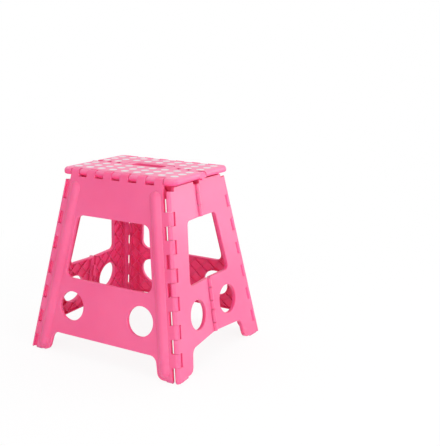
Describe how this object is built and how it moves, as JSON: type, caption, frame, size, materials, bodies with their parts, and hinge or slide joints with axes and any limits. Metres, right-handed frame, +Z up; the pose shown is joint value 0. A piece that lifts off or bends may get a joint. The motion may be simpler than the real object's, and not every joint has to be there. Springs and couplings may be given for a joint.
{
  "type": "folding step stool",
  "caption": "Folding step stool of moulded plastic: hinged leg panels and side panels fold flat, two-part top with grip dots and a carry handle.",
  "frame": {"origin": "on the floor under the middle of the open stool", "axes": "+Z up, front faces -Y (the panel carried by the handle half of the top), +X to the right seen from the front"},
  "size_m": [0.383, 0.3458, 0.39],
  "materials": {
    "pink_plastic": "moulded, satin",
    "steel_pin": "plain steel",
    "grip_dot": "soft moulded",
    "foot_pad": "matt, moulded in the same pink"
  },
  "bodies": {
    "front_legs": {"front_leg_panel": "pink_plastic", "front_left_corner_pin": "steel_pin", "front_right_corner_pin": "steel_pin", "front_top_hinge_pin": "steel_pin", "front_foot_pads": "foot_pad"},
    "left_front_side": {"left_front_side_panel": "pink_plastic", "left_lower_side_pin": "steel_pin", "left_upper_side_pin": "steel_pin", "left_front_foot_pad": "foot_pad"},
    "right_front_side": {"right_front_side_panel": "pink_plastic", "right_lower_side_pin": "steel_pin", "right_upper_side_pin": "steel_pin", "right_front_foot_pad": "foot_pad"},
    "left_rear_side": {"left_rear_side_panel": "pink_plastic", "left_rear_foot_pad": "foot_pad"},
    "right_rear_side": {"right_rear_side_panel": "pink_plastic", "right_rear_foot_pad": "foot_pad"},
    "rear_legs": {"rear_leg_panel": "pink_plastic", "rear_left_corner_pin": "steel_pin", "rear_right_corner_pin": "steel_pin", "rear_top_hinge_pin": "steel_pin", "rear_foot_pads": "foot_pad"},
    "front_top": {"front_top_panel": "pink_plastic", "front_grip_dots": "grip_dot", "left_top_fold_pin": "steel_pin", "right_top_fold_pin": "steel_pin"},
    "rear_top": {"rear_top_panel": "pink_plastic", "rear_grip_dots": "grip_dot"}
  },
  "joints": [
    {"name": "left_front_fold", "type": "hinge", "parent": "front_legs", "child": "left_front_side", "pos_m": [-0.18491, -0.15936, 0], "axis": [-0.1612, -0.1612, -0.9737], "range_deg": [0, 88.03]},
    {"name": "right_front_fold", "type": "hinge", "parent": "front_legs", "child": "right_front_side", "pos_m": [0.18491, -0.15936, 0], "axis": [-0.1612, 0.1612, 0.9737], "range_deg": [0, 88.03]},
    {"name": "left_side_fold", "type": "hinge", "parent": "left_front_side", "child": "left_rear_side", "pos_m": [-0.18202, 0, 0], "axis": [0.1536, 0, 0.9881], "range_deg": [0, 173.09]},
    {"name": "left_rear_fold", "type": "hinge", "parent": "left_rear_side", "child": "rear_legs", "pos_m": [-0.18491, 0.15936, 0], "axis": [-0.1612, 0.1612, -0.9737], "range_deg": [0, 88.03]},
    {"name": "right_rear_fold", "type": "hinge", "parent": "rear_legs", "child": "right_rear_side", "pos_m": [0.18491, 0.15936, 0], "axis": [0.1612, 0.1612, -0.9737], "range_deg": [0, 88.03]},
    {"name": "front_top_hinge", "type": "hinge", "parent": "front_legs", "child": "front_top", "pos_m": [0, -0.09822, 0.3816], "axis": [1, 0, 0], "range_deg": [0, 81.65]},
    {"name": "top_fold", "type": "hinge", "parent": "front_top", "child": "rear_top", "pos_m": [0, 0, 0.3776], "axis": [-1, 0, 0], "range_deg": [0, 175.62]}
  ],
  "couplings": [
    {"joint": "right_front_fold", "follows": "left_front_fold", "ratio": 1},
    {"joint": "left_side_fold", "follows": "left_front_fold", "ratio": 1.9663},
    {"joint": "left_rear_fold", "follows": "left_front_fold", "ratio": 1},
    {"joint": "right_rear_fold", "follows": "left_front_fold", "ratio": 1},
    {"joint": "front_top_hinge", "follows": "left_front_fold", "ratio": 0.92756},
    {"joint": "top_fold", "follows": "left_front_fold", "ratio": 1.995}
  ]
}
